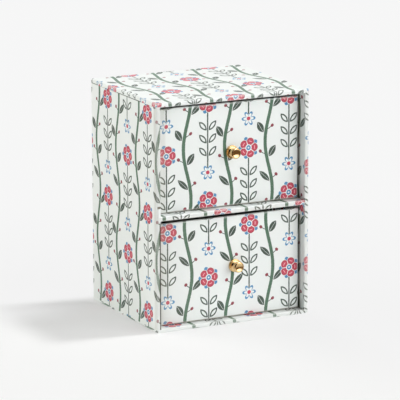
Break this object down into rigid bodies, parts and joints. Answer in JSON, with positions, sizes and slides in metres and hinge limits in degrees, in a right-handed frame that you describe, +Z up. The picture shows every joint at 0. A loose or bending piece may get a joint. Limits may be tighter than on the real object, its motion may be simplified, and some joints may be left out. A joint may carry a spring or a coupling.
{
  "type": "drawer storage box",
  "caption": "Small free-standing paper-covered box with sliding drawers, each pulled by a turned brass knob, for craft supplies and small parts.",
  "frame": {"origin": "middle of the underside, where the box stands", "axes": "+Z up, -Y out of the open front the way the drawers pull, +X to the right seen from the front"},
  "size_m": [0.149, 0.1325, 0.203],
  "materials": {
    "greyboard": "matt recycled greyboard",
    "printed_paper": "matt paper with a green, red and blue block-print style pattern",
    "plain_paper": "matt off-white lining paper",
    "knob_brass": "polished and lacquered",
    "plated_steel": "bright zinc plate"
  },
  "bodies": {
    "case": {"case_left_board": "greyboard", "case_right_board": "greyboard", "case_top_board": "greyboard", "case_base_board": "greyboard", "case_back_board": "greyboard", "shelf_board": "greyboard", "case_wrap": "printed_paper", "back_paper": "printed_paper", "base_paper": "plain_paper", "shelf_edge_strip": "printed_paper", "upper_bay_lining": "plain_paper", "lower_bay_lining": "plain_paper"},
    "upper_drawer": {"upper_drawer_front_board": "greyboard", "upper_drawer_back_board": "greyboard", "upper_drawer_left_board": "greyboard", "upper_drawer_right_board": "greyboard", "upper_drawer_base_board": "greyboard", "upper_drawer_wrap": "printed_paper", "upper_drawer_lining": "plain_paper", "upper_knob": "knob_brass", "upper_knob_washer": "plated_steel", "upper_knob_screw": "plated_steel"},
    "lower_drawer": {"lower_drawer_front_board": "greyboard", "lower_drawer_back_board": "greyboard", "lower_drawer_left_board": "greyboard", "lower_drawer_right_board": "greyboard", "lower_drawer_base_board": "greyboard", "lower_drawer_wrap": "printed_paper", "lower_drawer_lining": "plain_paper", "lower_knob": "knob_brass", "lower_knob_washer": "plated_steel", "lower_knob_screw": "plated_steel"}
  },
  "joints": [
    {"name": "upper_drawer_slide", "type": "slide", "parent": "case", "child": "upper_drawer", "axis": [0, -1, 0], "range_m": [0, 0.115]},
    {"name": "lower_drawer_slide", "type": "slide", "parent": "case", "child": "lower_drawer", "axis": [0, -1, 0], "range_m": [0, 0.115]}
  ]
}
